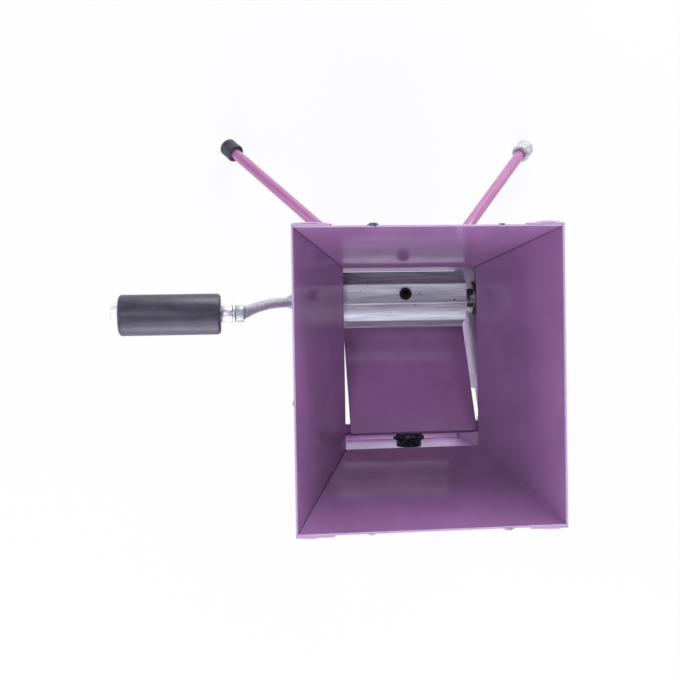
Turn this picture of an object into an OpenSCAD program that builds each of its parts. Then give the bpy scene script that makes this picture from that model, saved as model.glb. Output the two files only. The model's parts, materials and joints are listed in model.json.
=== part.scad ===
// Hand-cranked nut cracking machine: sheet hopper, fluted roller, hinged jaw plate, four rod legs.
// X runs left to right, Y front to rear, Z up; the origin lies on the floor under the hopper's middle.

/* [Hopper] */
// Width of the mouth, left to right between the sheets
mouth_w = 200; // [170:1:240]
// Depth of the mouth, front to rear between the sheets
mouth_d = 222; // [190:1:260]
// Height from the throat to the rim
hopper_h = 91.6; // [75:0.2:110]
// Width of the throat
throat_w = 110; // [100:1:120]
// Depth of the throat
throat_d = 148; // [142:1:154]
// How far the throat lies behind the middle of the mouth
throat_back = 11.5; // [5:0.5:16]
// Thickness of the hopper sheet
hopper_t = 1.2; // [0.8:0.1:2]
// Width of the corner flanges folded over the front and rear panels
flange_w = 24; // [16:1:30]

/* [Body] */
// Free height under the body
stand_h = 75; // [60:1:95]
// Height of the body, from its bottom to the throat
body_h = 109; // [100:1:120]
// How far the throat's side edges hang inside the side plates
side_tuck = 5; // [4:0.5:8]
// How far the throat's front edge hangs inside the front wall
front_tuck = 6; // [4:0.5:7]
// How far the throat's rear edge hangs inside the rear wall
rear_tuck = 1; // [0.5:0.5:4]
// Thickness of the body sheet
body_t = 2; // [1.5:0.5:3]
// Length of the wall returns that wrap round the side plates
return_w = 9; // [7:0.5:9]
// Outer bend radius of the wall returns
bend_r = 3; // [2:0.5:5]
// Width of the flange turned in under the front wall, from the wall's inner face
lip_w = 8; // [6:0.5:8]
// Inner bend radius of that flange
lip_r = 4; // [2:0.5:5]
// Gap between the flange's ends and the side plates
lip_gap = 0.3; // [0.1:0.1:1]
// Width of the side plates' front band, ahead of their windows
band_w = 23.5; // [22:0.5:28]
// Height of the tie under the windows
tie_h = 15; // [10:1:25]
// Length of the windows along the floor
window_w = 27; // [22:1:60]
// Distance of the windows' upper edge under the jaw's middle plane
window_drop = 2.5; // [1:0.5:6]
// Diameter of the round lug that each window leaves about the hinge rod
lug_d = 17; // [15:0.5:22]

/* [Roller] */
// Diameter over the ridges
roller_d = 48.4; // [44:0.2:52]
// Gap between the roller and the rear wall
rear_gap = 2.3; // [1.5:0.1:5]
// Height of the throat above the roller's axis
roller_drop = 35; // [32:0.5:40]
// Gap between the left side plate and the roller
roller_left_gap = 6; // [4:0.5:10]
// Gap between the right side plate and the roller
roller_right_gap = 10; // [4:0.5:12]
// Number of ridges
ridges = 9; // [8:1:11]
// Width of the flat on a ridge
ridge_w = 1; // [0.6:0.1:2]
// Radius of the concave flutes
flute_r = 24; // [16:0.5:40]
// Turn of the first ridge from straight up, towards the front
ridge_turn = 10; // [0:1:30]
// Diameter of the roller's set screw
roller_screw_d = 10; // [8:1:12]
// Depth of the set screws' outer ends under the surface
screw_sink = 0.5; // [0.3:0.1:1]

/* [Shaft and bearings] */
// Diameter of the shaft
shaft_d = 16; // [14:0.5:18]
// Running clearance of the shaft in its bushes, on the radius
shaft_play = 0.05; // [0.03:0.01:0.1]
// Outer diameter of the bushes
bush_d = 22; // [20:0.5:24]
// Diameter of the bush flanges
bush_flange_d = 28; // [26:0.5:31]
// Thickness of the bush flanges
bush_flange_t = 2; // [1:0.5:3]
// Outer diameter of the welded bearing bosses
boss_d = 32; // [30:0.5:33]
// Length of the bearing bosses
boss_len = 10; // [8:0.5:14]
// Diameter of the shaft collar
collar_d = 30; // [26:1:34]
// Length of the shaft collar
collar_len = 10; // [8:0.5:14]
// Diameter of the set screws in collar and crank hub
grub_d = 6; // [5:0.5:6]
// End play of the shaft between its bosses, the crank hub and the collar
collar_gap = 0.3; // [0.2:0.05:0.5]
// Length of the shaft's free right end
free_end = 14; // [10:1:25]
// Chamfer of the shaft's ends
shaft_chamfer = 1; // [0.5:0.1:2]

/* [Crank] */
// Throw, from the shaft's axis to the grip's axis
throw = 101.5; // [90:0.5:115]
// Lean of the crank towards the front at rest, in degrees
crank_lean = 5.9; // [0:0.1:12]
// Sideways reach of the arm from its root to its eye
reach = 49.6; // [40:0.1:60]
// Diameter of the arm's round bar
arm_d = 8; // [7:0.5:10]
// Diameter of the crank hub
hub_d = 28; // [26:1:34]
// Length of the crank hub
hub_len = 21; // [18:0.5:26]
// Depth of the shaft's end in the hub
shaft_inset = 0.5; // [0.2:0.1:2]
// Diameter of the eye at the arm's end
eye_d = 12.4; // [12:0.2:16]
// Thickness of the eye
eye_t = 6.8; // [6:0.2:9]
// Diameter of the grip
grip_d = 30.2; // [26:0.2:34]
// Length of the grip
grip_len = 73.6; // [65:0.2:90]
// Chamfer of the grip's ends
grip_chamfer = 1.6; // [0.8:0.2:3]
// Diameter of the grip bolt
pin_d = 8; // [7:0.5:9]
// Diameter of the spacer beside the grip
spacer_d = 12; // [11:0.5:16]
// Length of that spacer
spacer_len = 8.4; // [5:0.2:12]
// End play of the grip at each end
grip_play = 0.3; // [0.2:0.05:0.5]

/* [Jaw] */
// Distance of the hinge rod behind the front wall
hinge_set = 20; // [19.5:0.5:21.5]
// Depth of the hinge rod under the throat
hinge_drop = 18.5; // [17:0.5:20]
// Diameter of the hinge rod
rod_d = 8; // [7:0.5:9]
// Outer diameter of the jaw's hinge tube
tube_d = 11; // [10.5:0.1:13]
// Gap between the left side plate and the jaw
jaw_left_gap = 10; // [4:0.5:12]
// Gap between the right side plate and the jaw
jaw_right_gap = 4; // [3:0.5:10]
// Length of the jaw plate from over the hinge rod to its lower edge
jaw_len = 107; // [100:1:112]
// How far the jaw plate runs on ahead of the hinge rod
jaw_lead = 7.3; // [6:0.1:9]
// Thickness of the jaw plate
jaw_t = 3; // [2:0.5:4]
// Gap between the jaw and the roller at rest
nip_gap = 8.3; // [7:0.1:11]
// Width of the lever under the hinge tube
lever_w = 30; // [20:1:40]
// Thickness of the lever
lever_t = 3; // [2:0.5:4]
// Outer diameter of the spacers beside the hinge tube
jaw_spacer_d = 10; // [9.4:0.2:11]
// End play between the hinge tube and each spacer
jaw_side_play = 0.25; // [0.1:0.05:0.5]
// Radial play of hinge rod, adjuster thread and grip bolt in their bores
pin_play = 0.1; // [0.05:0.01:0.1]

/* [Adjuster] */
// Distance of the adjuster's axis under the hinge rod
lever_arm = 19.5; // [19:0.5:22]
// Diameter of the adjuster bolt
bolt_d = 8; // [6:0.5:9]
// Gap between the front wall and the knob at rest
knob_gap = 2.2; // [2.2:0.1:3]
// Travel of the knob towards the front wall, which opens the jaw
travel_in = 1.9; // [1:0.05:2]
// Diameter of the knob's neck
neck_d = 21.5; // [18:0.5:24]
// Length of the knob's neck
neck_len = 6; // [5:0.1:6.5]
// Diameter of the knob's ribbed head
head_d = 26.5; // [24:0.5:27.5]
// Length of the knob's ribbed head
head_len = 8.4; // [8:0.1:9]
// Number of ribs round the head
ribs = 30; // [24:1:36]
// Width of the groove that parts the ribs into two rows
groove_w = 1.4; // [0.8:0.1:2]
// Depth of the groove
groove_depth = 1.2; // [1.2:0.1:1.5]
// Diameter of the metal insert in the knob
insert_d = 12; // [11:0.5:14]
// Diameter of the thrust button
button_d = 12; // [10:0.5:14]
// Height of the thrust button's dome
button_h = 1.6; // [1.2:0.1:2]
// Length of the thrust button's stem in the knob
button_stem_len = 2; // [1.5:0.1:2.2]
// Plastic between the insert's pocket and the button's stem
knob_floor = 1; // [0.8:0.1:1.2]
// Play between the thrust button and the jaw's lever
button_gap = 0.3; // [0.2:0.05:0.5]

/* [Legs] */
// Diameter of the leg rods
leg_d = 10; // [8:0.5:12]
// Height above the body's bottom at which the legs' axes meet the walls
leg_rise = 67.6; // [55:0.2:75]
// Distance of the legs' roots from the middle
leg_root_x = 32.5; // [24:0.5:38]
// Distance of the rear feet from the middle
rear_foot_x = 154; // [110:1:170]
// Distance of the rear feet behind the hopper's middle
rear_foot_y = 218; // [180:1:240]
// Distance of the front feet from the middle
front_foot_x = 70; // [50:1:120]
// Distance of the front feet ahead of the hopper's middle
front_foot_y = 151; // [130:1:200]
// Diameter of the welded leg sockets
socket_d = 16; // [15:0.5:20]
// Length of the leg sockets along the leg
socket_len = 20; // [16:1:24]
// Diameter of the rubber feet
foot_d = 17; // [15:0.5:20]
// Length of the rubber feet
foot_len = 16; // [14:1:24]
// Rubber under the rod's end
foot_sole = 4; // [3:0.5:6]
// Depth of the flat that the feet stand on
foot_flat = 1.5; // [1:0.1:2.5]
// Chamfer of the feet's ends
foot_chamfer = 1; // [0.5:0.1:1.5]
// Gap between the wall and the end of a leg rod in its socket
rod_gap = 0.5; // [0.2:0.1:1]

/* [Fasteners] */
// Width across flats of the M8 nuts and of the adjuster bolt's head
nut_af = 13; // [12:0.5:14]
// Height of the M8 nuts
nut_h = 6.5; // [5:0.5:8]
// Height of the M8 bolt heads
bolt_head_h = 5.3; // [4:0.1:6.5]
// Diameter of the M8 washers
washer_d = 16; // [14:0.5:18]
// Thickness of the M8 washers
washer_t = 1.6; // [1:0.1:2]
// Length of the hinge rod that shows outside its nuts
rod_end = 1.5; // [1:0.1:3]
// Chamfer of the hinge rod's ends
rod_chamfer = 0.8; // [0.4:0.1:1]
// Width across flats of the legs' lock nuts
leg_nut_af = 17; // [16:0.5:19]
// Height of the legs' lock nuts
leg_nut_h = 6; // [5:0.5:8]

/* [Hidden] */
$fn = 64;
big = 400;
over = 1;

throat_z = stand_h + body_h;
rim_z = throat_z + hopper_h;
throat_front = throat_d / 2 - throat_back;
throat_rear = throat_d / 2 + throat_back;
side_lean = atan((mouth_w - throat_w) / 2 / hopper_h);
front_lean = atan((mouth_d / 2 - throat_front) / hopper_h);
rear_lean = atan((mouth_d / 2 - throat_rear) / hopper_h);

// A hopper wall: the way it faces, its throat edge's distance from the Z axis, and its lean
LEFT = [180, throat_w / 2, side_lean];
RIGHT = [0, throat_w / 2, side_lean];
FRONT = [-90, throat_front, front_lean];
REAR = [90, throat_rear, rear_lean];

side_x = throat_w / 2 + side_tuck;
front_y = -throat_front - front_tuck;
rear_y = throat_rear + rear_tuck;
seat_top = throat_z + hopper_h / 2;

roller_r = roller_d / 2;
roller_y = rear_y - rear_gap - roller_r;
roller_z = throat_z - roller_drop;
roller_x0 = -side_x + roller_left_gap;
roller_len = 2 * side_x - roller_left_gap - roller_right_gap;
roller_mid = roller_x0 + roller_len / 2;
flute_half = 180 / ridges - asin(ridge_w / 2 / roller_r);
flute_at = roller_r * cos(flute_half) + sqrt(flute_r * flute_r - pow(roller_r * sin(flute_half), 2));
screw_turn = ridge_turn - 180 / ridges;

boss_end = side_x + body_t + boss_len;
collar_x = boss_end + collar_gap;
collar_end = collar_x + collar_len;
hub_mid = collar_x + hub_len / 2;
arm_x = collar_x + hub_len - arm_d / 2;
shaft_x0 = -collar_x - hub_len + shaft_inset;
shaft_x1 = collar_end + free_end;

eye_x = -arm_x - reach;
eye_y = roller_y - throw * sin(crank_lean);
eye_z = roller_z + throw * cos(crank_lean);
washer_x = eye_x - eye_t / 2 - washer_t;
spacer_x = washer_x - spacer_len;
grip_x1 = spacer_x - grip_play;
grip_x0 = grip_x1 - grip_len;
pin_head_x = grip_x0 - grip_play;

hinge_y = front_y + hinge_set;
hinge_z = throat_z - hinge_drop;
nip_reach = norm([roller_y - hinge_y, roller_z - hinge_z]);
nip_angle = atan2(hinge_z - roller_z, roller_y - hinge_y);
jaw_rise = tube_d / 2 + jaw_t / 2;
jaw_slope = nip_angle + asin((roller_r + nip_gap + jaw_t / 2 + jaw_rise) / nip_reach);
jaw_x0 = -side_x + jaw_left_gap;
jaw_x1 = side_x - jaw_right_gap;

adjuster_x = (jaw_x0 + jaw_x1) / 2;
adjuster_z = hinge_z - lever_arm;
neck_y = front_y + knob_gap;
head_y = neck_y + neck_len;
face_y = head_y + head_len;
button_y = face_y + pin_play;
lever_y = button_y + button_h + button_gap;
button_stem_d = button_d / 2;
pocket_y = face_y - button_stem_len - pin_play - knob_floor;
bolt_tip_y = pocket_y - travel_in - button_gap;

leg_z = stand_h + leg_rise;
wall_front = front_y - body_t;
wall_rear = rear_y + body_t;
// A left leg: its root on the wall, and the point where its axis meets the floor
REAR_LEG = [[-leg_root_x, wall_rear, leg_z], [-rear_foot_x, rear_foot_y, 0]];
FRONT_LEG = [[-leg_root_x, wall_front, leg_z], [-front_foot_x, -front_foot_y, 0]];

PAINT = "#8a5a90";
ALUMINIUM = "#b9bac0";
ZINC = "#a4a6aa";
STEEL = "#8d9095";
BLACK = "#1d1d20";
RUBBER = "#26262a";
BRASS = "#b59a4c";

// Turns a shape that stands on Z so that it points along +X
module along_x() {
    rotate([0, 90, 0]) children();
}

// Turns a shape that stands on Z so that it points along +Y
module along_y() {
    rotate([-90, 0, 0]) children();
}

module ring(outer_d, inner_d, h) {
    difference() {
        cylinder(d = outer_d, h = h);
        translate([0, 0, -over]) cylinder(d = inner_d, h = h + 2 * over);
    }
}

module hex_prism(af, h) {
    cylinder(d = af / cos(30), h = h, $fn = 6);
}

module hex_nut(af, bore, h) {
    difference() {
        hex_prism(af, h);
        translate([0, 0, -over]) cylinder(d = bore, h = h + 2 * over);
    }
}

// A set screw standing on its tip, with a hexagon socket half its diameter wide
module set_screw(d, len) {
    difference() {
        cylinder(d = d, h = len);
        translate([0, 0, len * 0.4]) hex_prism(d / 2, len);
    }
}

// Everything further out than a hopper wall's inner face moved out by d
module beyond(wall, d) {
    rotate([0, 0, wall[0]])
        translate([wall[1], 0, throat_z])
            rotate([0, wall[2], 0])
                translate([d, -big, -big])
                    cube([big, 2 * big, 2 * big]);
}

// The sheet of a hopper wall between two distances from its inner face, from throat to rim
module slab(wall, d0, d1) {
    difference() {
        intersection() {
            translate([-big, -big, throat_z]) cube([2 * big, 2 * big, hopper_h]);
            beyond(wall, d0);
        }
        beyond(wall, d1);
    }
}

// The hopper's outline filled solid, for cutting the body walls to it
module funnel() {
    difference() {
        translate([-big / 2, -big / 2, throat_z]) cube([big, big, hopper_h]);
        for (wall = [LEFT, RIGHT, FRONT, REAR]) beyond(wall, hopper_t);
    }
}

// The corner that a side panel wraps round an end panel, filled solid for the same use
module wrapped_corner(wall, end) {
    difference() {
        intersection() {
            slab(end, 0, 2 * hopper_t);
            beyond(wall, -flange_w);
        }
        beyond(wall, hopper_t);
    }
}

module end_panel(wall) {
    color(PAINT) difference() {
        slab(wall, 0, hopper_t);
        beyond(LEFT, 0);
        beyond(RIGHT, 0);
    }
}

module hopper_front_panel() {
    end_panel(FRONT);
}

module hopper_rear_panel() {
    end_panel(REAR);
}

// A side panel wraps the ends of the front and rear panels and runs on outside them as flanges
module side_panel(wall) {
    color(PAINT) union() {
        difference() {
            slab(wall, 0, hopper_t);
            beyond(FRONT, 2 * hopper_t);
            beyond(REAR, 2 * hopper_t);
        }
        for (end = [FRONT, REAR]) difference() {
            intersection() {
                slab(end, hopper_t, 2 * hopper_t);
                beyond(wall, -flange_w);
            }
            beyond(wall, hopper_t / 2);
        }
    }
}

module hopper_left_panel() {
    side_panel(LEFT);
}

module hopper_right_panel() {
    side_panel(RIGHT);
}

// Height of the windows' upper edge, under the jaw's middle plane, at distance y behind the hinge
function window_z(y) = hinge_z - y * tan(jaw_slope) + (jaw_rise - window_drop) / cos(jaw_slope);

module window() {
    y0 = band_w - hinge_set;
    y1 = y0 + window_w;
    foot = stand_h + tie_h;
    along_x() linear_extrude(3 * body_t) difference() {
        polygon([
            [-foot, hinge_y + y0],
            [-window_z(y0), hinge_y + y0],
            [-window_z(y1), hinge_y + y1],
            [-foot, hinge_y + y1]
        ]);
        translate([-hinge_z, hinge_y]) circle(d = lug_d);
    }
}

// The right side plate; the left one is its mirror image
module side_plate() {
    color(PAINT) difference() {
        translate([side_x, front_y, stand_h]) cube([body_t, rear_y - front_y, seat_top - stand_h]);
        funnel();
        translate([side_x - body_t, 0, 0]) window();
        translate([side_x - over, roller_y, roller_z])
            along_x() cylinder(d = bush_d, h = body_t + 2 * over);
        translate([side_x - over, hinge_y, hinge_z])
            along_x() cylinder(d = rod_d, h = body_t + 2 * over);
    }
}

module body_left_side() {
    mirror([1, 0, 0]) side_plate();
}

module body_right_side() {
    side_plate();
}

module rounded_rect(half_x, y0, y1, r) {
    translate([-half_x + r, y0]) square([2 * (half_x - r), y1 - y0]);
    translate([-half_x, y0 + r]) square([2 * half_x, y1 - y0 - 2 * r]);
    for (x = [-half_x + r, half_x - r], y = [y0 + r, y1 - r]) translate([x, y]) circle(r);
}

// An end wall bent round the side plates, seen from above, with its inner face on y = 0
module bent_wall_outline() {
    inner_x = side_x + body_t;
    difference() {
        rounded_rect(inner_x + body_t, -body_t, 3 * return_w, bend_r);
        translate([-inner_x, 0]) square([2 * inner_x, 4 * return_w]);
        translate([-big / 2, return_w]) square([big, big]);
    }
}

module end_wall(face_y, turned) {
    color(PAINT) difference() {
        translate([0, face_y, stand_h]) linear_extrude(seat_top - stand_h)
            mirror([0, turned, 0]) bent_wall_outline();
        funnel();
        for (wall = [LEFT, RIGHT], end = [FRONT, REAR]) wrapped_corner(wall, end);
    }
}

// Extrudes an outline, drawn as [-z, y] from the front wall's inner lower edge, between the side plates
module between_sides() {
    half = side_x - lip_gap;
    translate([-half, front_y, stand_h]) along_x() linear_extrude(2 * half) children();
}

module lip_outline() {
    translate([-body_t, 0]) square([body_t, lip_w]);
    difference() {
        translate([-body_t - lip_r, 0]) square([lip_r, lip_r]);
        translate([-body_t - lip_r, lip_r]) circle(lip_r);
    }
}

// What the flange's bend takes off the wall's outer lower edge
module bend_outline() {
    corner = body_t + lip_r;
    difference() {
        translate([-corner, -body_t - over]) square([corner + over, corner + over]);
        translate([-corner, lip_r]) circle(corner);
    }
}

module body_front_wall() {
    color(PAINT) difference() {
        union() {
            end_wall(front_y, 0);
            between_sides() lip_outline();
        }
        between_sides() bend_outline();
        on_adjuster(wall_front - over) cylinder(d = bolt_d, h = body_t + 2 * over);
    }
}

module body_rear_wall() {
    end_wall(rear_y, 1);
}

// The right bearing boss and bush; the left ones are their mirror images
module bearing_boss() {
    color(PAINT) translate([side_x + body_t, roller_y, roller_z])
        along_x() ring(boss_d, bush_d, boss_len);
}

module bush() {
    color(BRASS) translate([side_x, roller_y, roller_z]) along_x() difference() {
        union() {
            translate([0, 0, -bush_flange_t]) cylinder(d = bush_flange_d, h = bush_flange_t);
            cylinder(d = bush_d, h = body_t + boss_len);
        }
        translate([0, 0, -big / 2]) cylinder(d = shaft_d + 2 * shaft_play, h = big);
    }
}

module left_bearing_boss() {
    mirror([1, 0, 0]) bearing_boss();
}

module right_bearing_boss() {
    bearing_boss();
}

module left_bush() {
    mirror([1, 0, 0]) bush();
}

module right_bush() {
    bush();
}

module roller() {
    color(ALUMINIUM) difference() {
        translate([roller_x0, roller_y, roller_z]) along_x() linear_extrude(roller_len) difference() {
            circle(roller_r);
            circle(d = shaft_d);
            for (i = [0 : ridges - 1]) rotate(180 + ridge_turn + (i + 0.5) * 360 / ridges)
                translate([flute_at, 0]) circle(flute_r);
        }
        translate([roller_mid, roller_y, roller_z]) rotate([screw_turn, 0, 0])
            cylinder(d = roller_screw_d, h = roller_d);
    }
}

module roller_set_screw() {
    tip = shaft_d / 2;
    color(BLACK) translate([roller_mid, roller_y, roller_z]) rotate([screw_turn, 0, 0])
        translate([0, 0, tip]) difference() {
            set_screw(roller_screw_d, roller_r - screw_sink - tip);
            translate([0, 0, -tip]) rotate([-screw_turn, 0, 0]) along_x()
                translate([0, 0, -roller_screw_d]) cylinder(d = shaft_d, h = 2 * roller_screw_d);
        }
}

// A round bar standing on Z, with chamfered ends
module bar(d, len, chamfer) {
    r = d / 2;
    rotate_extrude() polygon([
        [0, 0], [r - chamfer, 0], [r, chamfer], [r, len - chamfer], [r - chamfer, len], [0, len]
    ]);
}

module roller_shaft() {
    color(STEEL) translate([shaft_x0, roller_y, roller_z]) along_x()
        bar(shaft_d, shaft_x1 - shaft_x0, shaft_chamfer);
}

// The collar's set screw points up at rest and ends just under the collar's surface
module collar_screw_place() {
    translate([collar_x + collar_len / 2, roller_y, roller_z]) children();
}

module shaft_collar() {
    color(ZINC) difference() {
        translate([collar_x, roller_y, roller_z]) along_x() ring(collar_d, shaft_d, collar_len);
        collar_screw_place() cylinder(d = grub_d, h = collar_d);
    }
}

// A set screw from the shaft's round surface out to a collar or hub of diameter d
module shaft_grub(d) {
    color(BLACK) difference() {
        translate([0, 0, shaft_d / 4]) set_screw(grub_d, d / 2 - screw_sink - shaft_d / 4);
        along_x() translate([0, 0, -grub_d]) cylinder(d = shaft_d, h = 2 * grub_d);
    }
}

module collar_set_screw() {
    collar_screw_place() shaft_grub(collar_d);
}

// Stands a shape on point a so that its Z axis runs to point b
module towards(a, b) {
    v = b - a;
    translate(a) rotate([0, acos(v[2] / norm(v)), atan2(v[1], v[0])]) children();
}

// A round bar between a hub, which takes the place of a collar on the shaft, and an eye
module crank_arm() {
    hub = [-hub_mid, roller_y, roller_z];
    root = [-arm_x, roller_y, roller_z];
    eye = [eye_x, eye_y, eye_z];
    color(ZINC) difference() {
        union() {
            translate(hub - [hub_len / 2, 0, 0]) along_x() cylinder(d = hub_d, h = hub_len);
            towards(root, eye) cylinder(d = arm_d, h = norm(eye - root) - pin_d / 2 - over);
            translate(eye - [eye_t / 2, 0, 0]) along_x() cylinder(d = eye_d, h = eye_t);
        }
        translate(hub - [hub_len, 0, 0]) along_x() cylinder(d = shaft_d, h = 2 * hub_len);
        translate(eye - [eye_t, 0, 0]) along_x() cylinder(d = pin_d, h = 3 * eye_t);
        translate(hub) mirror([0, 0, 1]) cylinder(d = grub_d, h = hub_d);
    }
}

module crank_set_screw() {
    translate([-hub_mid, roller_y, roller_z]) mirror([0, 0, 1]) shaft_grub(hub_d);
}

// Places a shape on the grip's axis at x
module on_pin(x) {
    translate([x, eye_y, eye_z]) along_x() children();
}

module grip_bolt() {
    color(ZINC) union() {
        on_pin(pin_head_x - bolt_head_h) hex_prism(nut_af, bolt_head_h);
        on_pin(pin_head_x - bolt_head_h / 2)
            cylinder(d = pin_d, h = eye_x + eye_t / 2 - pin_head_x + bolt_head_h / 2);
    }
}

module grip_spacer() {
    color(ZINC) on_pin(spacer_x) ring(spacer_d, pin_d, spacer_len);
}

module grip_washer() {
    color(ZINC) on_pin(washer_x) ring(washer_d, pin_d, washer_t);
}

module crank_grip() {
    color(BLACK) on_pin(grip_x0) difference() {
        bar(grip_d, grip_len, grip_chamfer);
        translate([0, 0, -over]) cylinder(d = pin_d + 2 * pin_play, h = grip_len + 2 * over);
    }
}

// The plate lies on the hinge tube, which is welded under it
module jaw_plate() {
    color(PAINT) translate([jaw_x0, hinge_y, hinge_z]) rotate([-jaw_slope, 0, 0])
        translate([0, -jaw_lead, tube_d / 2]) cube([jaw_x1 - jaw_x0, jaw_lead + jaw_len, jaw_t]);
}

module jaw_hinge_tube() {
    color(PAINT) translate([jaw_x0, hinge_y, hinge_z]) along_x()
        ring(tube_d, rod_d + 2 * pin_play, jaw_x1 - jaw_x0);
}

// The lever hangs from the hinge tube and reaches below the thrust button
module jaw_lever() {
    foot = adjuster_z - button_d / 2 - lever_t;
    color(PAINT) difference() {
        translate([adjuster_x - lever_w / 2, lever_y, foot]) cube([lever_w, lever_t, hinge_z - foot]);
        translate([jaw_x0, hinge_y, hinge_z]) along_x() cylinder(d = tube_d, h = jaw_x1 - jaw_x0);
    }
}

module hinge_rod() {
    half = side_x + body_t + washer_t + nut_h + rod_end;
    color(STEEL) translate([-half, hinge_y, hinge_z]) along_x() bar(rod_d, 2 * half, rod_chamfer);
}

module left_jaw_spacer() {
    color(PAINT) translate([-side_x, hinge_y, hinge_z]) along_x()
        ring(jaw_spacer_d, rod_d, jaw_left_gap - jaw_side_play);
}

module right_jaw_spacer() {
    color(PAINT) translate([jaw_x1 + jaw_side_play, hinge_y, hinge_z]) along_x()
        ring(jaw_spacer_d, rod_d, jaw_right_gap - jaw_side_play);
}

module hinge_rod_washers() {
    for (m = [0, 1]) mirror([m, 0, 0])
        color(ZINC) translate([side_x + body_t, hinge_y, hinge_z]) along_x()
            ring(washer_d, rod_d, washer_t);
}

module hinge_rod_nuts() {
    for (m = [0, 1]) mirror([m, 0, 0])
        color(ZINC) translate([side_x + body_t + washer_t, hinge_y, hinge_z]) along_x()
            hex_nut(nut_af, rod_d, nut_h);
}

// Places a shape on the adjuster's axis at y, pointing to the rear
module on_adjuster(y) {
    translate([adjuster_x, y, adjuster_z]) along_y() children();
}

module adjuster_bolt() {
    color(ZINC) union() {
        on_adjuster(wall_front - bolt_head_h) hex_prism(nut_af, bolt_head_h);
        on_adjuster(wall_front - bolt_head_h / 2)
            cylinder(d = bolt_d, h = bolt_tip_y - wall_front + bolt_head_h / 2);
    }
}

module adjuster_knob() {
    stem_bore = button_stem_d + 2 * pin_play;
    rib_gap_r = head_d * sin(180 / ribs) / 3;
    color(BLACK) difference() {
        union() {
            on_adjuster(neck_y) cylinder(d = neck_d, h = neck_len + over);
            on_adjuster(head_y) linear_extrude(head_len) difference() {
                circle(d = head_d);
                for (i = [0 : ribs - 1]) rotate(i * 360 / ribs)
                    translate([head_d / 2, 0]) circle(rib_gap_r);
            }
        }
        on_adjuster(head_y + (head_len - groove_w) / 2)
            ring(head_d + 2 * over, head_d - 2 * groove_depth, groove_w);
        on_adjuster(neck_y - over) cylinder(d = insert_d, h = pocket_y - neck_y + over);
        on_adjuster(face_y - button_stem_len - pin_play) cylinder(d = stem_bore, h = head_len);
    }
}

module knob_insert() {
    color(BRASS) on_adjuster(neck_y) ring(insert_d, bolt_d + 2 * pin_play, pocket_y - neck_y);
}

module thrust_button() {
    dome_r = (button_d * button_d / 4 + button_h * button_h) / 2 / button_h;
    color(STEEL) union() {
        on_adjuster(button_y - button_stem_len)
            cylinder(d = button_stem_d, h = button_stem_len + button_h / 2);
        on_adjuster(button_y) intersection() {
            cylinder(d = button_d, h = button_h + over);
            translate([0, 0, button_h - dome_r]) sphere(dome_r);
        }
    }
}

function leg_len(leg) = norm(leg[0] - leg[1]);
function leg_tilt(leg) = acos((leg[0][2] - leg[1][2]) / leg_len(leg));
// Distance along a leg from the floor point of its axis to its foot's lower end
function foot_start(leg) = (foot_d / 2 * sin(leg_tilt(leg)) - foot_flat) / cos(leg_tilt(leg));

// Places a shape on a leg's axis, s up from the floor point
module on_leg(leg, s) {
    towards(leg[1], leg[0]) translate([0, 0, s]) children();
}

// Everything on the body's side of a plane that lies gap outside a leg's wall
module wall_side(leg, gap) {
    y = leg[1][1] > 0 ? leg[0][1] + gap - 2 * big : leg[0][1] - gap;
    translate([-big, y, -big / 2]) cube([2 * big, 2 * big, 2 * big]);
}

module leg_rod(leg) {
    start = foot_start(leg) + foot_sole;
    color(PAINT) difference() {
        on_leg(leg, start) cylinder(d = leg_d, h = leg_len(leg) - start + 2 * leg_d);
        wall_side(leg, rod_gap);
    }
}

module rear_left_leg() {
    leg_rod(REAR_LEG);
}

module rear_right_leg() {
    mirror([1, 0, 0]) leg_rod(REAR_LEG);
}

module front_left_leg() {
    leg_rod(FRONT_LEG);
}

module front_right_leg() {
    mirror([1, 0, 0]) leg_rod(FRONT_LEG);
}

module leg_sockets() {
    for (m = [0, 1], leg = [REAR_LEG, FRONT_LEG]) mirror([m, 0, 0]) color(PAINT) difference() {
        on_leg(leg, leg_len(leg) - socket_len) ring(socket_d, leg_d, socket_len + 2 * socket_d);
        wall_side(leg, 0);
    }
}

module leg_lock_nuts() {
    for (m = [0, 1], leg = [REAR_LEG, FRONT_LEG]) mirror([m, 0, 0]) color(ZINC)
        on_leg(leg, leg_len(leg) - socket_len - leg_nut_h) hex_nut(leg_nut_af, leg_d, leg_nut_h);
}

module foot(leg) {
    start = foot_start(leg);
    color(RUBBER) difference() {
        on_leg(leg, start) bar(foot_d, foot_len, foot_chamfer);
        on_leg(leg, start + foot_sole) cylinder(d = leg_d, h = foot_len);
        translate([-big, -big, -big]) cube([2 * big, 2 * big, big]);
    }
}

module rear_left_foot() {
    foot(REAR_LEG);
}

module rear_right_foot() {
    mirror([1, 0, 0]) foot(REAR_LEG);
}

module front_left_foot() {
    foot(FRONT_LEG);
}

module front_right_foot() {
    mirror([1, 0, 0]) foot(FRONT_LEG);
}

hopper_front_panel();
hopper_rear_panel();
hopper_left_panel();
hopper_right_panel();
body_left_side();
body_right_side();
body_front_wall();
body_rear_wall();
left_bearing_boss();
right_bearing_boss();
left_bush();
right_bush();
roller();
roller_set_screw();
roller_shaft();
shaft_collar();
collar_set_screw();
crank_arm();
crank_set_screw();
grip_bolt();
grip_spacer();
grip_washer();
crank_grip();
jaw_plate();
jaw_hinge_tube();
jaw_lever();
hinge_rod();
left_jaw_spacer();
right_jaw_spacer();
hinge_rod_washers();
hinge_rod_nuts();
adjuster_bolt();
adjuster_knob();
knob_insert();
thrust_button();
rear_left_leg();
rear_right_leg();
front_left_leg();
front_right_leg();
leg_sockets();
leg_lock_nuts();
rear_left_foot();
rear_right_foot();
front_left_foot();
front_right_foot();
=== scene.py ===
import json
import math

import bmesh
import bpy
from mathutils import Matrix, Vector, noise


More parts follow.
